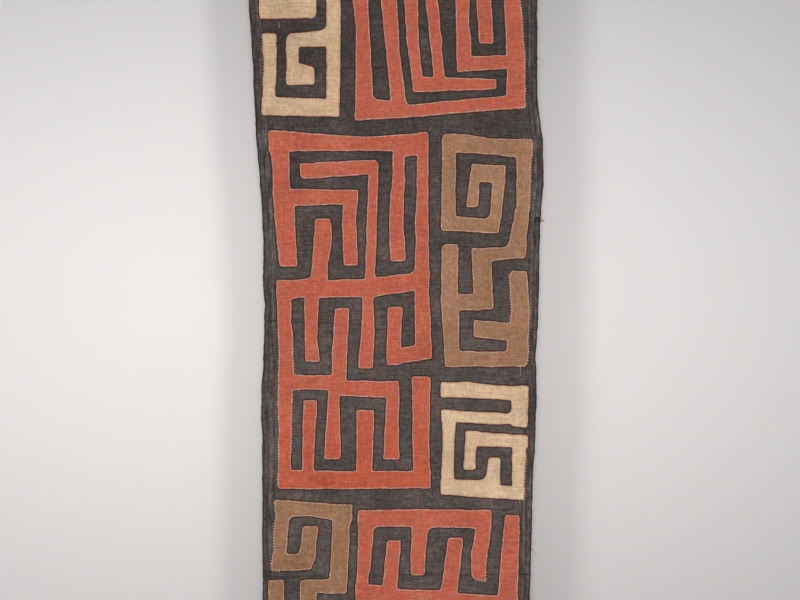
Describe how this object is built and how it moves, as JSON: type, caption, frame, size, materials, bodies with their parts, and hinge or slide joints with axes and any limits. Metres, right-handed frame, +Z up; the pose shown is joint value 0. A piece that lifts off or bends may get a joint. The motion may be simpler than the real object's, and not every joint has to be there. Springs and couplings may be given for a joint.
{
  "type": "kuba raffia cloth",
  "caption": "Long hanging strip of dark woven raffia panels with side strips and sewn-on meander motifs of terracotta, tan and cream bars.",
  "frame": {"origin": "middle of the top edge, on the cloth's front", "axes": "+Z up along the hanging length, front of the cloth towards -Y, +X to the right as seen from the front"},
  "size_m": [0.644, 0.0169, 2.1995],
  "materials": {
    "ground": "matt charcoal raffia with fine crosswise ribs",
    "strip": "matt darker raffia strip with ribs that run down it",
    "terracotta": "matt terracotta raffia, uneven dye, pale stitched edge",
    "tan": "matt tan raffia, uneven dye, pale stitched edge",
    "cream": "matt undyed raffia with an open weave"
  },
  "bodies": {
    "root": {"panel_1": "ground", "panel_1_left_strip": "strip", "panel_1_right_strip": "strip", "panel_2": "ground", "panel_2_left_strip": "strip", "panel_2_right_strip": "strip", "panel_3": "ground", "panel_3_left_strip": "strip", "panel_3_right_strip": "strip", "panel_4": "ground", "panel_4_left_strip": "strip", "panel_4_right_strip": "strip", "motif_cream_top": "cream", "motif_red_top": "terracotta", "motif_red_middle": "terracotta", "motif_tan_middle": "tan", "motif_cream_middle": "cream", "motif_tan_low": "tan", "motif_red_low": "terracotta"}
  },
  "joints": []
}
